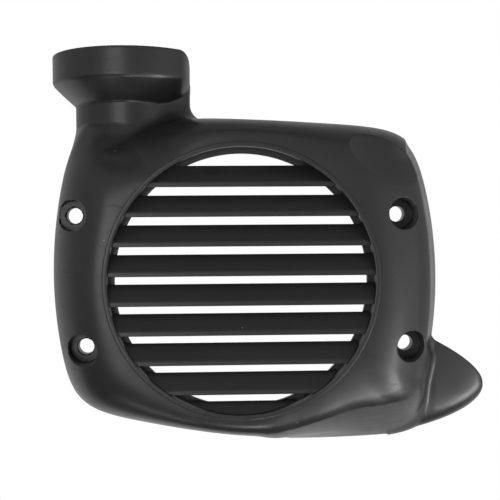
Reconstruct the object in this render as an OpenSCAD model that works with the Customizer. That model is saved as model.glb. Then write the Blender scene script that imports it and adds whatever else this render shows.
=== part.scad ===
// Fan cover: a moulded shell over the cooling fan of a small engine, with a round louvred
// intake on its front and a half-round neck and collar at its upper left.
// Millimetres. Z is up, the front looks along -Y and the open back lies on the plane y = 0.
// The origin is the centre of the round intake, on that plane. Heights over it are called h.

/* [Body] */
// Height of the body's front over the back edge
body_h = 42; // [38:1:50]
// Wall of the shell
wall = 2.4; // [1.8:0.1:3]
// Height of the straight skirt at the back edge
skirt_h = 4; // [2:0.5:8]
// How square the shoulder is beside the intake (2 is a quarter of an ellipse)
side_shoulder = 2; // [1.8:0.1:2.6]
// How square the shoulder is over and under the intake
top_shoulder = 3.2; // [2.4:0.1:4]
// How much less square the shoulder is before the neck
neck_slope = 1; // [0:0.1:1.2]
// Lean of the strip below the right side's crease, inwards for each millimetre up
side_lean = 0.33; // [0:0.01:0.35]

/* [Outline, by its sides' distances from the intake's centre] */
// Right side
right_d = 91.4; // [90:0.1:94]
// Radius of the right side's bow
right_bow = 187; // [160:1:400]
// Top side
top_d = 70.6; // [70:0.1:73]
// Left side
left_d = 84; // [83:0.1:87]
// Radius of the left side's bow
left_bow = 195; // [160:1:400]
// Bottom side, in its left half
bottom_d = 70.8; // [70:0.1:72]
// Bottom side, in its right half, before the facet's flare
slope_d = 72.2; // [71.5:0.1:74]
// Sharpness of the corners
corner_power = 11.5; // [9:0.5:16]
// Sharpness of the lower right corner, at the tongue
tongue_corner_power = 20; // [16:1:30]

/* [Intake] */
// Radius of the intake at its rim
rim_r = 56.7; // [54:0.1:58]
// Width of the raised lip round the rim
lip_w = 2.1; // [1.4:0.1:2.6]
// Height of the raised lip over the body
lip_h = 0.8; // [0.4:0.1:1.5]
// Depth of the recess from its rim to the back of the ledge
recess_d = 11; // [10:0.5:16]
// Width of the ledge inside the recess
ledge_w = 2.4; // [1:0.1:3.5]
// Thickness of the ledge
ledge_t = 2.2; // [1.5:0.1:4]

/* [Slats] */
// Number of slats
slat_n = 9; // [7:1:9]
// Distance from one slat to the next
slat_pitch = 12.56; // [11.5:0.01:12.9]
// Height of the lowest slat's front edge against the centre of the intake
slat_low_z = -60.7; // [-61.5:0.1:-58]
// How far a slat rises from its front edge to its back edge
slat_rise = 9.2; // [7:0.1:10]
// Depth of a slat from front to back
slat_d = 4.6; // [4:0.1:6]
// Height of a slat's flat front and back edges
slat_edge = 1.8; // [1.4:0.1:2.4]
// Distance of the slats' front edge behind the rim
slat_set = 2; // [1:0.1:2.4]

/* [Neck and collar] */
// Sideways place of the neck's axis
neck_x = -49.9; // [-51:0.1:-49]
// Outside radius of the neck
neck_r = 24.2; // [22:0.1:25]
// Outside radius of the collar
collar_r = 34.5; // [33:0.1:36]
// Height of the collar's top edge
collar_top_z = 100.4; // [97:0.1:105]
// Height of the collar's band
collar_band = 13.2; // [10:0.1:14]
// Height of the cone under the band
cone_h = 9.6; // [8:0.1:11]
// Sideways place of the flat right side of the neck and collar
side_x = -22; // [-23:0.1:-21]
// Radius of the corner between the collar's front and its flat side
side_corner_r = 4.2; // [3.5:0.1:6]
// Height of the flat web beside the neck over the back edge
web_h = 13; // [11:0.1:15]
// Radius of the inside corner between the flat side and the body
neck_fillet_r = 6; // [3:0.5:8]

/* [Screw places] */
// Sideways distance of the upper screws
upper_span = 142.1; // [140:0.1:144]
// Sideways place of the middle of the upper screws
upper_x = -1.4; // [-2:0.1:0]
// Height of the upper screws
upper_z = 28.2; // [26:0.1:30]
// Sideways distance of the lower screws
lower_span = 141.2; // [140:0.1:143]
// Sideways place of the middle of the lower screws
lower_x = 2.5; // [1:0.1:4]
// Height of the lower screws
lower_z = -29.2; // [-31:0.1:-27]
// Diameter of the screw holes
hole_d = 7; // [6.4:0.1:7.4]
// Diameter of the pockets for the screw heads
pocket_d = 13.5; // [12:0.1:14.5]
// Height of the pocket floors over the back edge
pocket_floor = 22; // [20:0.5:24]
// Length of the screw holes
hole_len = 12; // [8:0.5:16]
// Wall round the pockets
boss_wall = 2.2; // [1.6:0.1:3]

/* [Lower right facet] */
// Height of the step from the body's front down to the facet
crease_step = 3; // [1:0.5:4]
// Bulge of the facet below the step
facet_bow = 4; // [0:0.5:8]
// How far the skirt flares out below the facet
facet_flare = 5; // [3:0.1:6]

/* [Corner hollow] */
// Sideways place of the oval hollow in the upper right corner
hollow_x = 62; // [60:0.5:64]
// Height of it against the intake's centre
hollow_z = 51.5; // [50:0.5:54]
// Half-length of it
hollow_long = 17.5; // [14:0.5:19]
// Half-width of it
hollow_wide = 8.5; // [7:0.5:9.5]
// Slant of it
hollow_slant = 29; // [24:1:36]
// Depth of it
hollow_d = 4; // [1:0.1:5]

/* [Tongue] */
// How far the tongue reaches past the right side
tongue_reach = 21.6; // [18:0.1:26]
// How far the tongue's root lies inside the right side
tongue_root = 15.5; // [12:0.5:18]
// Height of the tip against the intake's centre
tongue_tip_z = -52.1; // [-54:0.1:-50]
// Rise of its middle line, for each millimetre from the tip to the root
tongue_lift = 0.11; // [0:0.01:0.2]
// Fullness of its rounded outline
tongue_full = 4.1; // [3.9:0.05:4.3]
// Height of its upper edge over the back edge
tongue_h = 13; // [10:0.5:14]

/* [Hidden] */
// Columns round the body and rows down its shoulder
cols = 84;
rows = 10;
// Where the skin starts, under the middle of the lip, and where the hole through it ends
skin_start_r = rim_r + 0.6 * lip_w;
skin_hole_r = rim_r + 0.3 * lip_w;
// Cuts reach this far past what they cut
past = 5;
collar_low_z = collar_top_z - collar_band;
neck_low_z = collar_low_z - cone_h;
// Height inside the body where the neck begins, and where its flat side begins
neck_root_z = 44;
web_root_z = 56;
// Height of the body's top side at the neck's flat side
top_side_z = top_d + 0.8;
// Depth to which the fillet's and the web's blocks reach into their neighbours
sink = 1.2;
// Width and height of the bevel on the web's edge
web_bevel = 2;
// Where the web meets the neck, as parts of the neck's radius to the side and to the front
web_meet_side = 0.55;
web_meet_front = 0.8;
// Where the cone bends, as parts of its width and of its height
cone_bend_r = 0.6;
cone_bend_z = 0.45;
// Part of the wall by which the inside of the cone lies higher than its outside
cone_shift = 0.4;
tongue_tip_x = right_d + tongue_reach;
// The tongue's rounded outline stops this far before its sharp tip
tip_blunt = 0.4;

// Directions of the outline's sides round the intake, and of its corners
right_angle = 0.8;
top_angle = 88;
left_angle = 181.4;
bottom_angle = 260.9;
slope_angle = 271.2;
lower_left_corner = 216;
lower_right_corner = 318;
upper_right_corner = 402;

// Where the crease over the lower right facet runs: angle, then radius, and angle, then height
crease = [[270, 62], [283, 65.6], [297, 66.2], [311, 70.5], [322.5, 86.8], [330, 94]];
crease_h = [[270, 39], [283, 38.6], [297, 37.6], [311, 36], [322.5, 32], [330, 30]];
// Parts of the way down at which the front ends at the crease, and the step ends at the facet
crease_at = 0.3;
step_at = 0.4;
// Lean of the step, outwards for each millimetre down
step_lean = 0.4;
// Where the facet starts and ends, with the angles over which it fades
facet_start = 274;
facet_start_fade = 14;
facet_end = 331;
facet_end_fade = 9;
// Where the slope before the neck starts and ends, with the angle over which it fades
slope_start = 98;
slope_end = 150;
slope_fade = 22;
// Where the right side's crease starts and ends, with the angles over which it fades
side_start = -28;
side_start_fade = 8;
side_end = 46;
side_end_fade = 10;

function blend(a, b, t) = a + (b - a) * t;

// Eased step: 0 up to t = 0, 1 from t = 1.
function eased(t) =
    let (c = min(max(t, 0), 1))
    c * c * (3 - 2 * c);

// Distance to a straight side at an angle, and to a side bowed to a large circle.
function straight_side(a, d, dir) = cos(a - dir) > 0.05 ? d / cos(a - dir) : 20 * d;
function bowed_side(a, d, dir, bow) =
    (d - bow) * cos(a - dir) + sqrt(pow(bow, 2) - pow((d - bow) * sin(a - dir), 2));

// Sharpness of the corners at an angle: greatest at the lower right one.
function sharpness(a) =
    let (b = a < lower_left_corner ? a + 360 : a)
    let (up = (b - lower_left_corner) / (lower_right_corner - lower_left_corner))
    let (down = (upper_right_corner - b) / (upper_right_corner - lower_right_corner))
    blend(corner_power, tongue_corner_power, eased(min(up, down)));

// How far the facet shapes the skin at an angle, 0 to 1.
function facet_part(a) =
    eased(min((a - facet_start) / facet_start_fade, (facet_end - a) / facet_end_fade));

// How far the crease shapes the right side at an angle, 0 to 1.
function side_part(a) =
    let (b = a > 180 ? a - 360 : a)
    eased(min((b - side_start) / side_start_fade, (side_end - b) / side_end_fade));

// Radius of the body's outline at an angle: its five sides, joined by rounded corners.
function body_r(a) =
    let (n = sharpness(a))
    facet_flare * facet_part(a) + pow(
        pow(bowed_side(a, right_d, right_angle, right_bow), -n)
        + pow(straight_side(a, top_d, top_angle), -n)
        + pow(bowed_side(a, left_d, left_angle, left_bow), -n)
        + pow(straight_side(a, bottom_d, bottom_angle), -n)
        + pow(straight_side(a, slope_d, slope_angle), -n), -1 / n);

// Squareness of the shoulder: greatest over and under the intake, and less before the neck.
function squareness(a) =
    blend(side_shoulder, top_shoulder, pow(abs(sin(a)), 3))
    - neck_slope * eased(min(a - slope_start, slope_end - a) / slope_fade);

// Fall of the surface in the oval hollow of the upper right corner.
function hollow(x, z) =
    let (u = (x - hollow_x) * cos(hollow_slant) - (z - hollow_z) * sin(hollow_slant))
    let (v = (x - hollow_x) * sin(hollow_slant) + (z - hollow_z) * cos(hollow_slant))
    let (q = pow(u / hollow_long, 2) + pow(v / hollow_wide, 2))
    hollow_d * max(1 - q, 0);

// A value from a list of [angle, value] pairs, eased over a few degrees each way.
function along(list, a) = (lookup(a - 4, list) + 2 * lookup(a, list) + lookup(a + 4, list)) / 4;

// Shoulder as part of an ellipse, or squarer: [radius, height] from the lip (t = 0) to the skirt.
// At the right it ends at a crease, over a strip that leans in.
function shoulder(a, t, far, top) =
    let (n = squareness(a))
    let (r = blend(skin_start_r, far, pow(sin(90 * t), 2 / n)))
    let (h = blend(skirt_h, top, pow(cos(90 * t), 2 / n)))
    [min(r, far - side_lean * side_part(a) * (h - skirt_h)), h];

// Shoulder broken by the crease, with a short step below it to a nearly flat facet.
function creased(a, t, far, top) =
    let (r = along(crease, a) - (body_h - top), h = along(crease_h, a) - (body_h - top))
    let (step_r = r + step_lean * crease_step, step_h = h - crease_step)
    let (u = t / crease_at, s = (t - crease_at) / (step_at - crease_at))
    let (v = (t - step_at) / (1 - step_at))
    t <= crease_at ? [blend(skin_start_r, r, u), blend(top, h, u * u)]
        : t < step_at ? [blend(r, step_r, s), blend(h, step_h, s)]
        : [blend(step_r, far, v), blend(step_h, skirt_h, v) + facet_bow * v * (1 - v)];

// One point of the skin, t from 0 under the intake's lip to 1 at the skirt, pulled in by a wall.
function skin(a, t, w) =
    let (far = body_r(a) - w, top = body_h - w)
    let (p = blend(shoulder(a, t, far, top), creased(a, t, far, top), facet_part(a)))
    let (x = p[0] * cos(a), z = p[0] * sin(a))
    [x, -(p[1] - hollow(x, z)), z];

// A closed block under the skin, from the back plane (or past it) to the intake's plane.
module skin_block(w, back) {
    turns = [for (i = [0 : cols - 1]) i * 360 / cols];
    per = rows + 1;
    foot = cols * per;
    points = concat(
        [for (a = turns) for (j = [0 : rows]) skin(a, j / rows, w)],
        [for (a = turns) [(body_r(a) - w) * cos(a), back, (body_r(a) - w) * sin(a)]]
    );
    sides = [for (i = [0 : cols - 1]) for (j = [0 : rows - 1])
        let (k = (i + 1) % cols, a = i * per + j, b = k * per + j)
        each [[a, b, a + 1], [a + 1, b, b + 1]]];
    skirt = [for (i = [0 : cols - 1])
        let (k = (i + 1) % cols)
        each [[i * per + rows, k * per + rows, foot + i], [foot + i, k * per + rows, foot + k]]];
    front = [[for (i = [cols - 1 : -1 : 0]) i * per]];
    rear = [[for (i = [0 : cols - 1]) foot + i]];
    polyhedron(points = points, faces = concat(sides, skirt, front, rear), convexity = 6);
}

// Section of the neck, cone and collar (radius, height), pulled in by a wall.
module neck_section(w, top) {
    up = cone_shift * w;
    polygon([
        [0, neck_root_z], [neck_r - w, neck_root_z], [neck_r - w, neck_low_z + up],
        [blend(neck_r, collar_r, cone_bend_r) - w, blend(neck_low_z, collar_low_z, cone_bend_z) + up],
        [collar_r - w, collar_low_z + up], [collar_r - w, top], [0, top]
    ]);
}

// The space left of the flat side and in front of the back, with its front corner rounded off.
module left_of_side(w, back) {
    x = side_x - w;
    r = max(side_corner_r - w, 1);
    reach = sqrt(pow(collar_r - w - r, 2) - pow(x - r - neck_x, 2));
    out = 2 * collar_r;
    linear_extrude(collar_top_z + 2 * past)
        polygon([
            [neck_x - out, back], [x, back], [x, -reach],
            for (a = [15, 30]) [x - r + r * cos(a), -reach - r * sin(a)],
            [x - r + r * cos(30) - out * sin(30), -reach - r * sin(30) - out * cos(30)],
            [neck_x - out, -2 * out]
        ]);
}

// The neck, cone and collar with their flat side, pulled in by a wall.
module neck_block(w, back, top) {
    intersection() {
        translate([neck_x, 0, 0]) rotate_extrude($fn = 96) neck_section(w, top);
        left_of_side(w, back);
    }
    x = side_x - w;
    r = neck_r - w;
    translate([0, 0, web_root_z])
        linear_extrude(collar_low_z + cone_shift * w - web_root_z)
        polygon([
            [neck_x, back], [x, back], [x, w + web_bevel - web_h], [x - web_bevel, w - web_h],
            [neck_x + web_meet_side * r, -web_meet_front * r], [neck_x, -web_meet_front * r]
        ]);
}

// The rounded inside corner between the neck's flat side and the top of the body.
module neck_fillet() {
    r = neck_fillet_r;
    x = side_x;
    z = top_side_z;
    rotate([90, 0, 0])
        linear_extrude(web_h - web_bevel)
        polygon([
            [x - sink, z - sink], [x - sink, z + r], [x, z + r],
            for (a = [15 : 15 : 75]) [x + r - r * cos(a), z + r - r * sin(a)],
            [x + r, z - sink / 3], [x + r, z - sink]
        ]);
}

// One point of the tongue's skin, v from 0 at its upper edge to 1 at its lower edge.
function tongue_skin(u, v, w) =
    let (half = tongue_full * sqrt(u), middle = tongue_tip_z + tongue_lift * u)
    let (h = tongue_h * sqrt(min(half / 20, 1)))
    [tongue_tip_x - u, -(h - w) * pow(cos(90 * v), 0.9), middle + half - (2 * half - w) * sin(90 * v)];

// A curved guide plate that stands out at the lower right, open at its back.
module tongue() {
    stations = 12;
    steps = 10;
    root = tongue_reach + tongue_root;
    us = [for (i = [0 : stations - 1]) blend(tip_blunt, root, pow(1 - i / (stations - 1), 2))];
    layer = stations * steps;
    points = [for (w = [0, wall]) for (u = us) for (j = [0 : steps - 1])
        tongue_skin(u, j / (steps - 1), w)];
    grid = [for (i = [0 : stations - 2]) for (j = [0 : steps - 2]) i * steps + j];
    outer = [for (k = grid) each [[k, k + steps, k + 1], [k + 1, k + steps, k + steps + 1]]];
    inner = [for (k = grid) each [
        [layer + k, layer + k + 1, layer + k + steps],
        [layer + k + 1, layer + k + steps + 1, layer + k + steps]]];
    edge = [for (i = [0 : stations - 2]) each [
        [i * steps, (i + 1) * steps], [(i + 2) * steps - 1, (i + 1) * steps - 1]]];
    end = [for (j = [0 : steps - 2]) each [
        [j + 1, j], [layer - steps + j, layer - steps + j + 1]]];
    rims = [for (k = concat(edge, end)) each [
        [k[0], layer + k[0], k[1]], [k[1], layer + k[0], layer + k[1]]]];
    polyhedron(points = points, faces = concat(outer, inner, rims), convexity = 4);
}

// The wall of the recess with its raised lip and its ledge.
module intake_ring() {
    out_r = rim_r + lip_w;
    front = body_h + lip_h;
    back = front - recess_d;
    bevel = 0.35;
    rotate([90, 0, 0])
        rotate_extrude($fn = 180)
        polygon([
            [rim_r, front], [rim_r, back + ledge_t], [rim_r - ledge_w, back + ledge_t],
            [rim_r - ledge_w, back], [out_r, back], [out_r, front - bevel], [out_r - bevel, front]
        ]);
}

// Flat front and back edges with blades that slope up and back between them.
module slats() {
    intersection() {
        for (i = [0 : slat_n - 1])
            translate([-rim_r - lip_w, slat_set - body_h - lip_h, slat_low_z + i * slat_pitch])
            rotate([90, 0, 90])
            linear_extrude(2 * (rim_r + lip_w))
            polygon([[0, 0], [slat_d, slat_rise - slat_edge], [slat_d, slat_rise], [0, slat_edge]]);
        rotate([90, 0, 0]) cylinder(r = rim_r + lip_w / 2, h = body_h + lip_h, $fn = 180);
    }
}

module at_screws() {
    for (s = [-0.5, 0.5]) {
        translate([upper_x + s * upper_span, 0, upper_z]) rotate([90, 0, 0]) children();
        translate([lower_x + s * lower_span, 0, lower_z]) rotate([90, 0, 0]) children();
    }
}

// The hollow inside of the shell, with the four posts under the screw places left standing.
module inside() {
    difference() {
        union() {
            skin_block(wall, past);
            neck_block(wall, past, collar_top_z + past);
        }
        at_screws()
            translate([0, 0, pocket_floor - hole_len])
            cylinder(d = pocket_d + 2 * boss_wall, h = body_h, $fn = 64);
    }
}

module shell() {
    difference() {
        union() {
            skin_block(0, 0);
            neck_block(0, 0, collar_top_z);
            neck_fillet();
            tongue();
        }
        inside();
        rotate([90, 0, 0]) cylinder(r = skin_hole_r, h = body_h + past, $fn = 180);
    }
}

module screw_cuts() {
    at_screws() {
        translate([0, 0, pocket_floor]) cylinder(d = pocket_d, h = body_h, $fn = 64);
        cylinder(d = hole_d, h = body_h, $fn = 64);
    }
}

module fan_cover() {
    color("#1c1d1f")
    difference() {
        union() {
            shell();
            intake_ring();
            slats();
        }
        screw_cuts();
    }
}

fan_cover();
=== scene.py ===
"""Looks of the fan cover: its smooth moulded shell, the louvred intake, the plastic, lights and camera.

The shell is worked out as a field of distances in millimetres, at points given as (x, z, h):
x to the right, z up and h the height over the open back, which is -Y in the frame.
"""

import bpy
import numpy as np
from mathutils import Matrix, Vector


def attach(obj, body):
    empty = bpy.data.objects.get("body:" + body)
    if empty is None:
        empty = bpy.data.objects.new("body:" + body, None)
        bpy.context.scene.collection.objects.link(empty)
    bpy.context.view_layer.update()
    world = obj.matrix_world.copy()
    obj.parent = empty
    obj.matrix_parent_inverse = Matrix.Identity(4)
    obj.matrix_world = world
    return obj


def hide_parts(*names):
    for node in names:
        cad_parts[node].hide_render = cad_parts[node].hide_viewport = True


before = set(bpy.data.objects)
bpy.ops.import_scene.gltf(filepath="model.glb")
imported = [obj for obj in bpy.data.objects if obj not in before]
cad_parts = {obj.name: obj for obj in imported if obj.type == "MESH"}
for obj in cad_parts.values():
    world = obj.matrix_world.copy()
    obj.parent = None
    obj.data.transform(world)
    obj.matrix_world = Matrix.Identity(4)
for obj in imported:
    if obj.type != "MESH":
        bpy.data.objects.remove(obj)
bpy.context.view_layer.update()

# Body and outline, as in the part's source but for the slope under the neck
BODY_H = 42.0
WALL = 2.4
SKIRT_H = 4.0
SIDE_SHOULDER = 2.0
TOP_SHOULDER = 3.2
NECK_SLOPE = 1.2
SIDE_LEAN = 0.33
RIGHT_SIDE = (91.4, 0.8, 187.0)
LEFT_SIDE = (84.0, 181.4, 195.0)
TOP_SIDE = (70.6, 88.0)
BOTTOM_SIDE = (70.8, 260.9)
SLOPE_SIDE = (72.2, 271.2)
CORNER_SHARP = 11.5
TONGUE_CORNER_SHARP = 20.0

# Intake and slats
RIM_R = 56.7
LIP_W = 2.1
LIP_H = 0.8
RECESS_D = 11.0
LEDGE_W = 2.4
LEDGE_T = 2.2
SKIN_START_R = RIM_R + 0.6 * LIP_W
SLAT_N = 9
SLAT_PITCH = 12.56
SLAT_LOW_Z = -60.7
SLAT_RISE = 9.2
SLAT_D = 4.6
SLAT_EDGE = 1.8
SLAT_SET = 2.0

# Neck and collar
NECK_X = -49.9
NECK_R = 24.2
NECK_ROOT_Z = 44.0
COLLAR_R = 34.5
COLLAR_TOP_Z = 100.4
COLLAR_LOW_Z = COLLAR_TOP_Z - 13.2
NECK_LOW_Z = COLLAR_LOW_Z - 9.6
SIDE_X = -22.0
SIDE_CORNER_R = 4.2
WEB_H = 13.0
WEB_ROOT_Z = 56.0

# Screw places: sideways, height
SCREWS = [(-72.45, 28.2), (69.65, 28.2), (-68.1, -29.2), (73.1, -29.2)]
HOLE_R = 3.5
POCKET_R = 6.75
POCKET_FLOOR = 22.0
POST_LOW_H = 10.0
POST_R = POCKET_R + 2.2
POST_BORE_R = 5.0
FLOOR_T = 7.0

# Lower right facet: crease as (angle, radius, height), the band's lean, and the facet's lift and bulge
CREASE = [
    (270, 63, 39.4),
    (283, 67.6, 38.8),
    (297, 69, 38),
    (311, 73.2, 36.8),
    (322.5, 88.5, 32.4),
    (330, 94, 30),
]
BAND_LEAN = 0.95
FACET_LIFT = 3.0
FACET_BOW = 4.0
FACET_FLARE = 5.0

# Oval hollow in the upper right corner
HOLLOW_AT = (62.0, 51.5)
HOLLOW_HALF = (17.5, 8.5)
HOLLOW_SLANT = 29.0
HOLLOW_D = 4.0

# Radii of edges and joints
SIDE_CREASE_R = 0.5
BAND_EDGE_R = 0.7
FACET_EDGE_R = 5.0
SKIRT_EDGE_R = 1.0
MOUTH_EDGE_R = 0.7
COLLAR_EDGE_R = 0.9
CONE_BEND_R = 4.0
WEB_JOINT_R = 7.0
NECK_JOINT_R = 0.7
NECK_JOINT_LEFT = 9.0
NECK_JOINT_LESS = 7.0
TONGUE_JOINT_R = 3.0
CUT_EDGE_R = 0.3

# Tongue
TIP = (113.0, -52.1)
TIP_BLUNT = 0.4
TONGUE_FULL = 4.1
TONGUE_H = 13.0

# Light of the world by height, from -1 straight below to 1 straight above
FRONT_LIGHT = [
    (-1, 0.1), (-0.65, 0.2), (-0.4, 0.45), (0.1, 0.48),
    (0.64, 0.58), (0.78, 0.45), (0.88, 0.1), (0.96, 0.5),
]
BACK_LIGHT = [(-1, 0.8), (-0.3, 0.6), (0.3, 0.5), (1, 0.35)]

# Floor and lamps, in metres
FLOOR_Z = -1.3
FLOOR_HALF = 4.0
LAMP_DISTANCE = 1.2

# Fades over the floor: start and end in metres, level before and after. All but the first shape the
# floor's glow that only reflections see, a painted reflection with a painted shadow under the part and
# painted light to the right and behind
FLOOR_SEEN = (0.35, 0.8, 0.6, 1)
FLOOR_ACROSS = (-0.3, 0.9, 0.12, 0.8)
FLOOR_AWAY = (0.75, 1.2, 0, 1)
FLOOR_BEHIND = (0.35, 0.75, 0, 1)
FLOOR_PAINTED_SHADOW = 0.12
FLOOR_BACK = 0.88

# Camera that the photograph's slats, rim, holes and collar fit: turns in degrees, place in millimetres
CAMERA_TURNS = (1.4, 2.6, -0.39)
CAMERA_PLACE = (-3.2, 400.0, -13.2)
MM_PER_PIXEL = 0.42
PICTURE_PIXELS = 500
SENSOR_W = 36.0

# Colours of the plastic and of the dust on it
PLASTIC_COLOUR = (0.014, 0.014, 0.015, 1)
DUST_COLOUR = (0.16, 0.155, 0.145, 1)

# Net of the shell: its step in millimetres and its most triangles
GRID_STEP = 0.7
SHELL_TRIANGLES = 180000


def smooth_min(a, b, r):
    """Union of two distance fields with a fillet of radius r."""
    u = np.maximum(r - a, 0)
    v = np.maximum(r - b, 0)
    return np.maximum(r, np.minimum(a, b)) - np.sqrt(u * u + v * v)


def smooth_max(a, b, r):
    """Overlap of two distance fields with its edge rounded to radius r."""
    return -smooth_min(-a, -b, r)


def eased(t):
    t = np.clip(t, 0, 1)
    return t * t * (3 - 2 * t)


def straight_side(a, d, direction):
    c = np.cos(np.radians(a - direction))
    return np.where(c > 0.05, d / np.maximum(c, 0.05), 20 * d)


def bowed_side(a, d, direction, bow):
    s = np.radians(a - direction)
    return (d - bow) * np.cos(s) + np.sqrt(bow**2 - ((d - bow) * np.sin(s)) ** 2)


ANGLES = np.arange(0, 360.25, 0.25)


def outline_table():
    """Radius of the body's outline at each of ANGLES: five sides joined by rounded corners."""
    a = ANGLES
    b = np.where(a < 216, a + 360, a)
    near = eased(np.minimum((b - 216) / (318 - 216), (402 - b) / (402 - 318)))
    n = CORNER_SHARP + (TONGUE_CORNER_SHARP - CORNER_SHARP) * near
    total = bowed_side(a, *RIGHT_SIDE) ** -n + bowed_side(a, *LEFT_SIDE) ** -n
    for side in (TOP_SIDE, BOTTOM_SIDE, SLOPE_SIDE):
        total = total + straight_side(a, *side) ** -n
    return total ** (-1 / n) + FACET_FLARE * FACET_PART


def crease_table(column):
    """Radius (column 1) or height (column 2) of the crease at each of ANGLES, a little smoothed."""
    at, value = [np.array(CREASE, float)[:, i] for i in (0, column)]
    shifts = np.arange(-8.5, 9)
    weights = 1 + np.cos(np.radians(20 * shifts))
    return sum(w * np.interp(ANGLES + s, at, value) for s, w in zip(shifts, weights)) / weights.sum()


FACET_PART = eased(np.minimum((ANGLES - 274) / 14, (331 - ANGLES) / 12))
TURNED = np.where(ANGLES > 180, ANGLES - 360, ANGLES)
SIDE_PART = eased(np.minimum((TURNED + 28) / 8, (46 - TURNED) / 10))
OUTLINE = outline_table()
CREASE_R = crease_table(1)
CREASE_H = crease_table(2)
SLOPE_PART = eased(np.minimum(ANGLES - 98, 150 - ANGLES) / 22)
SQUARENESS = SIDE_SHOULDER + (TOP_SHOULDER - SIDE_SHOULDER) * np.abs(np.sin(np.radians(ANGLES))) ** 3
SQUARENESS -= NECK_SLOPE * SLOPE_PART


def at_angle(table, x, z):
    return np.interp(np.degrees(np.arctan2(z, x)) % 360, ANGLES, table)


def as_distance(f, x, z, h):
    """Turns a function that is zero on a surface into about the distance from that surface."""
    e = 0.05
    f0 = f(x, z, h)
    slope = np.sqrt((f(x + e, z, h) - f0) ** 2 + (f(x, z + e, h) - f0) ** 2 + (f(x, z, h + e) - f0) ** 2)
    return np.clip(f0 * e / np.maximum(slope, 1e-6), -40, 40)


def hollow(x, z):
    """Depth of the oval hollow at a point, with a clear edge all round it."""
    c, s = np.cos(np.radians(HOLLOW_SLANT)), np.sin(np.radians(HOLLOW_SLANT))
    u = (x - HOLLOW_AT[0]) * c - (z - HOLLOW_AT[1]) * s
    v = (x - HOLLOW_AT[0]) * s + (z - HOLLOW_AT[1]) * c
    q = (u / HOLLOW_HALF[0]) ** 2 + (v / HOLLOW_HALF[1]) ** 2
    return HOLLOW_D * np.maximum(1 - q, 0)


def shoulder(x, z, h):
    r = np.hypot(x, z)
    n = at_angle(SQUARENESS, x, z)
    q = np.maximum((r - SKIN_START_R) / (at_angle(OUTLINE, x, z) - SKIN_START_R), 0)
    w = np.maximum((h + hollow(x, z) - SKIRT_H) / (BODY_H - SKIRT_H), 0)
    return (q**n + w**n) ** (1 / n) - 1


def facet_top(x, z, h):
    """The body's front between the intake and the crease."""
    u = np.maximum((np.hypot(x, z) - SKIN_START_R) / (at_angle(CREASE_R, x, z) - SKIN_START_R), 0)
    return h - (BODY_H - (BODY_H - at_angle(CREASE_H, x, z)) * np.where(u < 1, u**1.6, 1.6 * u - 0.6))


def crease_band(x, z, h):
    """The leaning band from the crease down to the facet."""
    return np.hypot(x, z) - at_angle(CREASE_R, x, z) - BAND_LEAN * (at_angle(CREASE_H, x, z) - h)


def facet_side(x, z, h):
    """The facet between the band and the skirt."""
    crease = at_angle(CREASE_R, x, z)
    start = at_angle(CREASE_H, x, z) + FACET_LIFT
    v = (np.hypot(x, z) - crease) / (at_angle(OUTLINE, x, z) - crease)
    return h - (start + (SKIRT_H - start) * v + FACET_BOW * v * (1 - v))


def outline_wall(x, z, h):
    return np.hypot(x, z) - at_angle(OUTLINE, x, z)


def side_strip(x, z, h):
    """The strip below the right side's crease, which lies far out where there is no crease."""
    part = at_angle(SIDE_PART, x, z)
    return np.hypot(x, z) - at_angle(OUTLINE, x, z) + SIDE_LEAN * part * (h - SKIRT_H) - 6 * (1 - part)


def body(x, z, h):
    rounded = as_distance(shoulder, x, z, h)
    rounded = smooth_max(rounded, as_distance(side_strip, x, z, h), SIDE_CREASE_R)
    front = smooth_max(as_distance(facet_top, x, z, h), as_distance(crease_band, x, z, h), BAND_EDGE_R)
    creased = smooth_max(front, as_distance(facet_side, x, z, h), FACET_EDGE_R)
    creased = smooth_max(creased, as_distance(outline_wall, x, z, h), SKIRT_EDGE_R)
    part = at_angle(FACET_PART, x, z)
    return rounded * (1 - part) + creased * part


def slanted(p, q, start, end):
    """Distance in a plane from the line from start to end, greater than 0 at its right."""
    dp, dq = end[0] - start[0], end[1] - start[1]
    return ((p - start[0]) * dq - (q - start[1]) * dp) / np.hypot(dp, dq)


def neck(x, z, h, top):
    """The neck with its cone and collar, cut off flat at its right, and the web beside it."""
    r = np.hypot(x - NECK_X, h)
    middle = (NECK_R + 0.6 * (COLLAR_R - NECK_R), NECK_LOW_Z + 0.45 * (COLLAR_LOW_Z - NECK_LOW_Z))
    tube = smooth_max(r - NECK_R, NECK_ROOT_Z - z, 1)
    tube = smooth_max(tube, z - COLLAR_LOW_Z - 2, 1)
    collar = smooth_max(r - COLLAR_R, z - top, MOUTH_EDGE_R)
    cone = smooth_max(
        slanted(r, z, (NECK_R, NECK_LOW_Z), middle),
        slanted(r, z, middle, (COLLAR_R, COLLAR_LOW_Z)),
        CONE_BEND_R,
    )
    collar = smooth_max(collar, cone, COLLAR_EDGE_R)
    collar = smooth_max(collar, x - SIDE_X, SIDE_CORNER_R)
    web = smooth_max(x - SIDE_X, slanted(x, h, (-36.6, 19.36), (-24.0, WEB_H)) * -1, 2.5)
    web = smooth_max(web, h - 0.8 * NECK_R, 1)
    web = np.maximum(np.maximum(web, NECK_X - x), np.maximum(WEB_ROOT_Z - z, z - COLLAR_LOW_Z))
    return smooth_min(tube, collar, 0.8), web


def tongue_half(x):
    return TONGUE_FULL * np.sqrt(np.maximum(TIP[0] - x, TIP_BLUNT / 2))


def tongue_middle(x):
    return TIP[1] + 0.11 * (TIP[0] - x)


def tongue_front(x, z, h):
    half = tongue_half(x)
    s = (tongue_middle(x) + half - z) / (2 * half)
    top = TONGUE_H * np.minimum(half / 20, 1) ** 0.25
    return ((np.maximum(h, 0) / top) ** 2.2 + np.maximum(s, 0) ** 2.7) ** 0.5 - 1


def tongue_cut(x, z, h):
    return z - tongue_middle(x) - tongue_half(x)


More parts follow.
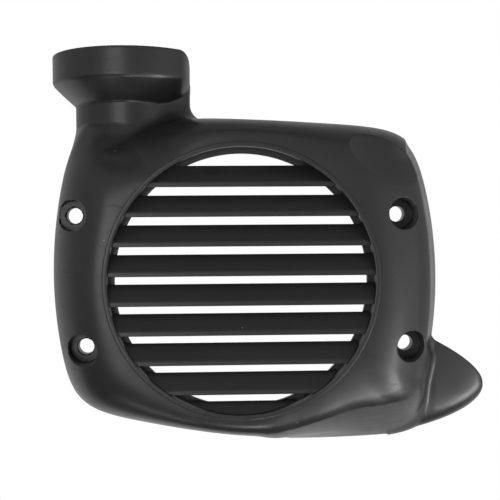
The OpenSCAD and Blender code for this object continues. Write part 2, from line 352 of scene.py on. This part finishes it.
def neck_joint(x, z, h):
    """Radius of the joint of neck and body, which is widest low down at the left of the front."""
    sideways = NECK_JOINT_LEFT - NECK_JOINT_LESS * eased((x + 66) / 22)
    low = eased((74 - z) / 8)
    front = 0.35 + 0.65 * eased((h - 8) / 12)
    return NECK_JOINT_R + sideways * low * front


def fan_cover(x, z, h):
    """Distance from the whole moulded shell, less than 0 in its wall."""
    rounded = body(x, z, h)

    def with_neck(top):
        round_neck, web = neck(x, z, h, top)
        return smooth_min(smooth_min(rounded, web, WEB_JOINT_R), round_neck, neck_joint(x, z, h))

    outer = with_neck(COLLAR_TOP_Z)
    shell = smooth_max(outer, -(with_neck(COLLAR_TOP_Z + 20) + WALL), CUT_EDGE_R)
    front = as_distance(tongue_front, x, z, h)
    tongue = smooth_max(front, -(front + WALL), 0.5)
    tongue = smooth_max(tongue, as_distance(tongue_cut, x, z, h), 0.7)
    tongue = smooth_max(tongue, x - TIP[0] + TIP_BLUNT, 0.5)
    tongue = np.maximum(np.maximum(tongue, 70 - x), -(outer + WALL / 2))
    solid = smooth_max(smooth_min(shell, tongue, TONGUE_JOINT_R), -h, 0.5)
    for sx, sz in SCREWS:
        near = np.hypot(x - sx, z - sz)
        post = np.maximum(np.maximum(near - POST_R, POST_LOW_H - h), outer + 1.2)
        solid = smooth_min(solid, post, 1)
        solid = smooth_max(solid, -np.maximum(near - POCKET_R, POCKET_FLOOR - h), 0.4)
        solid = smooth_max(solid, HOLE_R - near, CUT_EDGE_R)
        bore = np.maximum(near - POST_BORE_R, h - POCKET_FLOOR + FLOOR_T)
        solid = smooth_max(solid, -bore, CUT_EDGE_R)
    return smooth_max(solid, RIM_R + 0.3 * LIP_W - np.hypot(x, z), CUT_EDGE_R)


def gradient(field, p):
    e = 0.02
    steps = np.eye(3) * e
    return np.stack([(field(*(p + s).T) - field(*(p - s).T)) / (2 * e) for s in steps], 1)


def net_over(field, low, high, step):
    """Points and quads of the surface where the field is zero, one point in each grid cell it crosses."""
    axes = [np.arange(a, b + step, step) for a, b in zip(low, high)]
    slabs = [field(*np.meshgrid([v], axes[1], axes[2], indexing="ij"))[0] for v in axes[0]]
    value = np.stack(slabs)
    inside = value < 0
    shape = tuple(n - 1 for n in value.shape)
    corners = [(i, j, k) for i in (0, 1) for j in (0, 1) for k in (0, 1)]
    count = np.zeros(shape, np.int8)
    for i, j, k in corners:
        count += inside[i : i + shape[0], j : j + shape[1], k : k + shape[2]]
    cells = np.argwhere((count > 0) & (count < 8))
    index = np.full(shape, -1)
    index[tuple(cells.T)] = np.arange(len(cells))
    total = np.zeros((len(cells), 3))
    crossings = np.zeros(len(cells))
    for a in corners:
        for b in corners:
            if sum(b) - sum(a) != 1 or sum(abs(p - q) for p, q in zip(a, b)) != 1:
                continue
            va = value[tuple((cells + a).T)]
            vb = value[tuple((cells + b).T)]
            crossed = (va < 0) != (vb < 0)
            t = np.where(crossed, va / np.where(crossed, va - vb, 1), 0)
            total += crossed[:, None] * (np.array(a) + t[:, None] * (np.array(b) - np.array(a)))
            crossings += crossed
    points = (cells + total / crossings[:, None]) * step + np.array([v[0] for v in axes])
    quads = []
    for k in range(3):
        u, v = (k + 1) % 3, (k + 2) % 3
        first = np.take(inside, np.arange(shape[k]), axis=k)
        second = np.take(inside, np.arange(1, shape[k] + 1), axis=k)
        at = np.argwhere(first != second)
        at = at[(at[:, u] > 0) & (at[:, v] > 0) & (at[:, u] < shape[u]) & (at[:, v] < shape[v])]
        around = []
        for du, dv in ((-1, -1), (0, -1), (0, 0), (-1, 0)):
            c = at.copy()
            c[:, u] += du
            c[:, v] += dv
            around.append(index[tuple(c.T)])
        quad = np.stack(around, 1)
        flip = ~first[tuple(at.T)]
        quad[flip] = quad[flip][:, ::-1]
        quads.append(quad)
    return points, np.concatenate(quads)


def to_frame(p):
    """From (x, z, h) in millimetres to the frame's metres."""
    return np.stack([p[:, 0], -p[:, 2], p[:, 1]], 1) / 1000


def mesh_object(name, points, faces, normals=None):
    mesh = bpy.data.meshes.new(name)
    mesh.from_pydata(points.tolist(), [], [list(f) for f in faces])
    mesh.validate()
    mesh.shade_smooth()
    if normals is not None:
        mesh.normals_split_custom_set_from_vertices(normals.tolist())
    piece = bpy.data.objects.new(name, mesh)
    bpy.context.scene.collection.objects.link(piece)
    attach(piece, "root")
    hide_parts("fan_cover")
    return piece


def pulled_on(points, rounds):
    """Moves points onto the surface where the field is zero."""
    for _ in range(rounds):
        g = gradient(fan_cover, points)
        move = fan_cover(*points.T) / np.maximum((g * g).sum(1), 0.25)
        points = points - np.clip(move, -0.4, 0.4)[:, None] * g
    return points


def thinned(points, quads, triangles):
    """The same surface with fewer triangles where it is smooth."""
    mesh = bpy.data.meshes.new("net")
    mesh.from_pydata(points.tolist(), [], quads.tolist())
    net = bpy.data.objects.new("net", mesh)
    bpy.context.scene.collection.objects.link(net)
    thin = net.modifiers.new("thin", "DECIMATE")
    thin.ratio = min(1, triangles / (2 * len(quads)))
    result = bpy.data.meshes.new_from_object(net.evaluated_get(bpy.context.evaluated_depsgraph_get()))
    count = len(result.vertices)
    corners = np.empty(count * 3)
    result.vertices.foreach_get("co", corners)
    faces = [tuple(f.vertices) for f in result.polygons]
    bpy.data.objects.remove(net)
    bpy.data.meshes.remove(mesh)
    bpy.data.meshes.remove(result)
    return corners.reshape(count, 3), faces


def make_shell():
    low = (-87.0, -79.0, -1.0)
    high = (114.0, 103.0, 45.0)
    points, quads = net_over(fan_cover, low, high, GRID_STEP)
    points, faces = thinned(pulled_on(points, 3), quads, SHELL_TRIANGLES)
    points = pulled_on(points, 1)
    g = gradient(fan_cover, points)
    g /= np.maximum(np.linalg.norm(g, axis=1), 1e-9)[:, None]
    normals = np.stack([g[:, 0], -g[:, 2], g[:, 1]], 1)
    print("shell:", len(quads), "quads in the net,", len(faces), "faces kept")
    return mesh_object("shell", to_frame(points), faces, normals)


def make_ring():
    """The wall of the recess with its lip and ledge, turned round the intake's axis."""
    front = BODY_H + LIP_H
    back = front - RECESS_D
    out = RIM_R + LIP_W
    section = [
        (RIM_R, front - 0.2), (RIM_R, back + LEDGE_T), (RIM_R - LEDGE_W + 0.2, back + LEDGE_T),
        (RIM_R - LEDGE_W, back + LEDGE_T - 0.2), (RIM_R - LEDGE_W, back), (out, back),
        (out, front - 0.35), (out - 0.12, front - 0.1), (out - 0.35, front), (RIM_R + 0.2, front),
        (RIM_R + 0.05, front - 0.06),
    ]
    n = 360
    turn = np.radians(np.arange(n) * 360 / n)
    points = np.array([(r * np.cos(t), r * np.sin(t), h) for t in turn for r, h in section])
    k = len(section)
    quads = [
        (i * k + j, i * k + (j + 1) % k, (i + 1) % n * k + (j + 1) % k, (i + 1) % n * k + j)
        for i in range(n)
        for j in range(k)
    ]
    ring = mesh_object("intake_ring", to_frame(points), quads)
    ring.data.set_sharp_from_angle(angle=np.radians(35))
    return ring


def make_slats():
    """Nine louvres that end inside the ring's wall."""
    points, faces = [], []
    reach = RIM_R + 0.5 * LIP_W
    bevel = 0.18
    for i in range(SLAT_N):
        z0 = SLAT_LOW_Z + i * SLAT_PITCH
        h0 = BODY_H + LIP_H - SLAT_SET
        rise = SLAT_RISE - SLAT_EDGE
        blade = [(t * rise, -t * SLAT_D) for t in np.linspace(0, 1, 9)]
        low_side = [(0, -bevel), *[(z, h) for z, h in blade[1:]]]
        up_side = [(z + SLAT_EDGE, h) for z, h in blade[::-1]]
        up_side[-1] = (SLAT_EDGE + bevel, -bevel * 0.6)
        section = [(bevel, 0), *low_side, *up_side, (SLAT_EDGE - bevel, 0)]
        section = [(z0 + z, h0 + h) for z, h in section if abs(z0 + z) < reach - 0.3]
        if len(section) < 4:
            continue
        base = len(points)
        k = len(section)
        for side in (-1, 1):
            points += [(side * np.sqrt(reach**2 - z * z), z, h) for z, h in section]
        faces += [(base + j, base + k + j, base + k + (j + 1) % k, base + (j + 1) % k) for j in range(k)]
        faces.append(tuple(base + j for j in range(k)))
        faces.append(tuple(base + k + j for j in reversed(range(k))))
    slats = mesh_object("slats", to_frame(np.array(points)), faces)
    slats.data.set_sharp_from_angle(angle=np.radians(25))
    return slats


def black_plastic():
    """Black moulded plastic: a fine grain, cloudy gloss, soft waves, faint scratches and dust specks."""
    mat = bpy.data.materials.new("black_plastic")
    mat.use_nodes = True
    nodes, links = mat.node_tree.nodes, mat.node_tree.links
    shader = nodes["Principled BSDF"]
    shader.inputs["IOR"].default_value = 1.5
    place = nodes.new("ShaderNodeTexCoord")

    def noise(scale, detail, stretch=(1, 1, 1), turn=(0, 0, 0)):
        mapping = nodes.new("ShaderNodeMapping")
        mapping.inputs["Scale"].default_value = stretch
        mapping.inputs["Rotation"].default_value = turn
        links.new(place.outputs["Object"], mapping.inputs["Vector"])
        node = nodes.new("ShaderNodeTexNoise")
        node.inputs["Scale"].default_value = scale
        node.inputs["Detail"].default_value = detail
        links.new(mapping.outputs["Vector"], node.inputs["Vector"])
        return node.outputs["Fac"]

    def spread(source, low, high, start, end):
        node = nodes.new("ShaderNodeMapRange")
        for name, value in zip(("From Min", "From Max", "To Min", "To Max"), (low, high, start, end)):
            node.inputs[name].default_value = value
        links.new(source, node.inputs["Value"])
        return node.outputs["Result"]

    def combine(operation, a, b):
        node = nodes.new("ShaderNodeMath")
        node.operation = operation
        links.new(a, node.inputs[0])
        links.new(b, node.inputs[1])
        return node.outputs["Value"]

    def bump(height, strength, distance, under=None):
        node = nodes.new("ShaderNodeBump")
        node.inputs["Strength"].default_value = strength
        node.inputs["Distance"].default_value = distance
        links.new(height, node.inputs["Height"])
        if under:
            links.new(under, node.inputs["Normal"])
        return node.outputs["Normal"]

    cells = nodes.new("ShaderNodeTexVoronoi")
    cells.inputs["Scale"].default_value = 260
    links.new(place.outputs["Object"], cells.inputs["Vector"])
    picked = nodes.new("ShaderNodeSeparateColor")
    links.new(cells.outputs["Color"], picked.inputs["Color"])
    speck_size = spread(picked.outputs["Red"], 0.93, 1, 0, 0.09)
    speck = combine("LESS_THAN", cells.outputs["Distance"], speck_size)

    scratch_a = spread(noise(90, 1, (1, 1, 26), (0, 0.5, 0)), 0.66, 0.7, 0, 1)
    scratch_b = spread(noise(110, 1, (1, 1, 22), (0, -1.1, 0)), 0.67, 0.7, 0, 1)
    scratches = combine("MAXIMUM", scratch_a, scratch_b)

    colour = nodes.new("ShaderNodeMix")
    colour.data_type = "RGBA"
    colour.inputs["A"].default_value = PLASTIC_COLOUR
    colour.inputs["B"].default_value = DUST_COLOUR
    links.new(speck, colour.inputs["Factor"])
    links.new(colour.outputs["Result"], shader.inputs["Base Color"])

    cloudy = spread(noise(42, 4), 0.3, 0.7, 0.27, 0.37)
    rough = combine("ADD", cloudy, spread(scratches, 0, 1, 0, 0.12))
    links.new(rough, shader.inputs["Roughness"])

    waves = bump(noise(70, 2), 0.25, 0.0002)
    grain = bump(noise(2600, 2), 0.1, 0.0001, waves)
    links.new(grain, shader.inputs["Normal"])
    return mat


def make_pieces():
    plastic = black_plastic()
    for piece in (make_shell(), make_ring(), make_slats()):
        piece.data.materials.append(plastic)


def make_camera():
    """The camera fitted to the photograph."""
    pitch, yaw, roll = np.radians(CAMERA_TURNS)
    tilt = np.array([[1, 0, 0], [0, np.cos(pitch), -np.sin(pitch)], [0, np.sin(pitch), np.cos(pitch)]])
    turn = np.array([[np.cos(yaw), -np.sin(yaw), 0], [np.sin(yaw), np.cos(yaw), 0], [0, 0, 1]])
    lean = np.array([[np.cos(roll), 0, np.sin(roll)], [0, 1, 0], [-np.sin(roll), 0, np.cos(roll)]])
    r = lean @ tilt @ turn
    place = r.T @ -np.array(CAMERA_PLACE) - np.array([0, BODY_H + LIP_H, 0])
    right, back, up = r.T @ [1, 0, 0], r.T @ [0, -1, 0], r.T @ [0, 0, 1]
    camera = bpy.data.objects.new("camera", bpy.data.cameras.new("camera"))
    camera.data.sensor_width = SENSOR_W
    camera.data.lens = SENSOR_W * CAMERA_PLACE[1] / MM_PER_PIXEL / PICTURE_PIXELS
    bpy.context.scene.collection.objects.link(camera)
    turned = Matrix([[right[i], up[i], back[i], place[i] / 1000] for i in range(3)] + [[0, 0, 0, 1]])
    camera.matrix_world = turned
    bpy.context.scene.camera = camera


def lamp(name, sideways, up, size, power, aim=(0.0, -0.03, 0.0)):
    a, b = np.radians([sideways, up])
    away = Vector((np.sin(a) * np.cos(b), -np.cos(a) * np.cos(b), np.sin(b)))
    data = bpy.data.lights.new(name, "AREA")
    data.shape = "RECTANGLE"
    data.size, data.size_y = size
    data.energy = power
    light = bpy.data.objects.new(name, data)
    light.location = Vector(aim) + LAMP_DISTANCE * away
    light.rotation_euler = away.to_track_quat("Z", "Y").to_euler()
    bpy.context.scene.collection.objects.link(light)


def stepped(nodes, links, source, stops):
    """A grey value that follows a list of (place, value) stops over a source from -1 to 1."""
    ramp = nodes.new("ShaderNodeValToRGB")
    line = ramp.color_ramp
    while len(line.elements) < len(stops):
        line.elements.new(0.5)
    for element, (at, value) in zip(line.elements, stops):
        element.position = (at + 1) / 2
        element.color = (value, value, value, 1)
    shift = nodes.new("ShaderNodeMapRange")
    shift.inputs["From Min"].default_value = -1
    links.new(source, shift.inputs["Value"])
    links.new(shift.outputs["Result"], ramp.inputs["Fac"])
    return ramp.outputs["Color"]


def make_world():
    """White to the camera, and to the plastic dark straight below and in a band high up."""
    world = bpy.data.worlds.new("world")
    bpy.context.scene.world = world
    world.use_nodes = True
    nodes, links = world.node_tree.nodes, world.node_tree.links
    nodes.clear()
    seen = nodes.new("ShaderNodeBackground")
    seen.inputs["Color"].default_value = (1, 1, 1, 1)
    around = nodes.new("ShaderNodeBackground")
    direction = nodes.new("ShaderNodeTexCoord")
    parts = nodes.new("ShaderNodeSeparateXYZ")
    links.new(direction.outputs["Generated"], parts.inputs["Vector"])
    front = stepped(nodes, links, parts.outputs["Z"], FRONT_LIGHT)
    behind = stepped(nodes, links, parts.outputs["Z"], BACK_LIGHT)
    both = nodes.new("ShaderNodeMix")
    both.data_type = "RGBA"
    links.new(stepped(nodes, links, parts.outputs["Y"], [(-0.05, 0), (0.35, 1)]), both.inputs["Factor"])
    links.new(front, both.inputs["A"])
    links.new(behind, both.inputs["B"])
    links.new(both.outputs["Result"], around.inputs["Color"])
    path = nodes.new("ShaderNodeLightPath")
    mix = nodes.new("ShaderNodeMixShader")
    out = nodes.new("ShaderNodeOutputWorld")
    links.new(path.outputs["Is Camera Ray"], mix.inputs["Fac"])
    links.new(around.outputs["Background"], mix.inputs[1])
    links.new(seen.outputs["Background"], mix.inputs[2])
    links.new(mix.outputs["Shader"], out.inputs["Surface"])


def make_floor():
    """A pale floor under the held part, white to the camera away from its middle.

    To the plastic it glows only in reflections, a painted reflection: a painted shadow straight below the
    part, and painted light far to the right and behind.
    """
    mesh = bpy.data.meshes.new("floor")
    turns = [(-1, -1), (1, -1), (1, 1), (-1, 1)]
    mesh.from_pydata([(x * FLOOR_HALF, y * FLOOR_HALF, FLOOR_Z) for x, y in turns], [], [(0, 1, 2, 3)])
    floor = bpy.data.objects.new("floor", mesh)
    bpy.context.scene.collection.objects.link(floor)
    mat = bpy.data.materials.new("pale_floor")
    mat.use_nodes = True
    nodes, links = mat.node_tree.nodes, mat.node_tree.links
    shader = nodes["Principled BSDF"]
    shader.inputs["Base Color"].default_value = (0.8, 0.8, 0.8, 1)
    shader.inputs["Roughness"].default_value = 0.9
    path = nodes.new("ShaderNodeLightPath")
    place = nodes.new("ShaderNodeTexCoord")
    parts = nodes.new("ShaderNodeSeparateXYZ")
    links.new(place.outputs["Object"], parts.inputs["Vector"])
    flat = nodes.new("ShaderNodeVectorMath")
    flat.operation = "MULTIPLY"
    flat.inputs[1].default_value = (1, 1, 0)
    links.new(place.outputs["Object"], flat.inputs[0])
    far = nodes.new("ShaderNodeVectorMath")
    far.operation = "LENGTH"
    links.new(flat.outputs["Vector"], far.inputs[0])

    def faded(source, start, end, low, high):
        node = nodes.new("ShaderNodeMapRange")
        node.interpolation_type = "SMOOTHSTEP"
        for name, value in zip(("From Min", "From Max", "To Min", "To Max"), (start, end, low, high)):
            node.inputs[name].default_value = value
        links.new(source, node.inputs["Value"])
        return node.outputs["Result"]

    def glow(strength):
        node = nodes.new("ShaderNodeEmission")
        node.inputs["Color"].default_value = (1, 1, 1, 1)
        if isinstance(strength, float):
            node.inputs["Strength"].default_value = strength
        else:
            links.new(strength, node.inputs["Strength"])
        return node.outputs["Emission"]

    def mixed(part, a, b):
        node = nodes.new("ShaderNodeMixShader")
        links.new(part, node.inputs["Fac"])
        links.new(a, node.inputs[1])
        links.new(b, node.inputs[2])
        return node.outputs["Shader"]

    across = parts.outputs["X"]
    along = parts.outputs["Y"]
    away = far.outputs["Value"]
    seen = mixed(faded(away, *FLOOR_SEEN), shader.outputs["BSDF"], glow(1.0))
    # Glow seen only in the plastic's reflections: painted light, dark under the part as a painted shadow
    painted_glow = glow(faded(across, *FLOOR_ACROSS))
    painted_reflection = mixed(faded(away, *FLOOR_AWAY), glow(FLOOR_PAINTED_SHADOW), painted_glow)
    painted_reflection = mixed(faded(along, *FLOOR_BEHIND), painted_reflection, glow(FLOOR_BACK))
    lit = mixed(path.outputs["Is Glossy Ray"], shader.outputs["BSDF"], painted_reflection)
    lit = mixed(path.outputs["Is Camera Ray"], lit, seen)
    links.new(lit, nodes["Material Output"].inputs["Surface"])
    mesh.materials.append(mat)


def make_lights():
    """Soft lamps, each given by its direction from the part: sideways and up, in degrees."""
    lamp("window", -19, -1, (0.52, 0.85), 3.1)
    lamp("right", 58, -9, (1.35, 0.92), 2.6)
    lamp("strip", 54, -36, (0.11, 0.75), 6.2)
    lamp("low_left", -46, -60, (0.2, 0.3), 0.7)
    lamp("low_right", 8, -50, (0.2, 0.3), 1.7)


make_pieces()
make_camera()
make_world()
make_floor()
make_lights()
bpy.context.scene.view_settings.view_transform = "Standard"
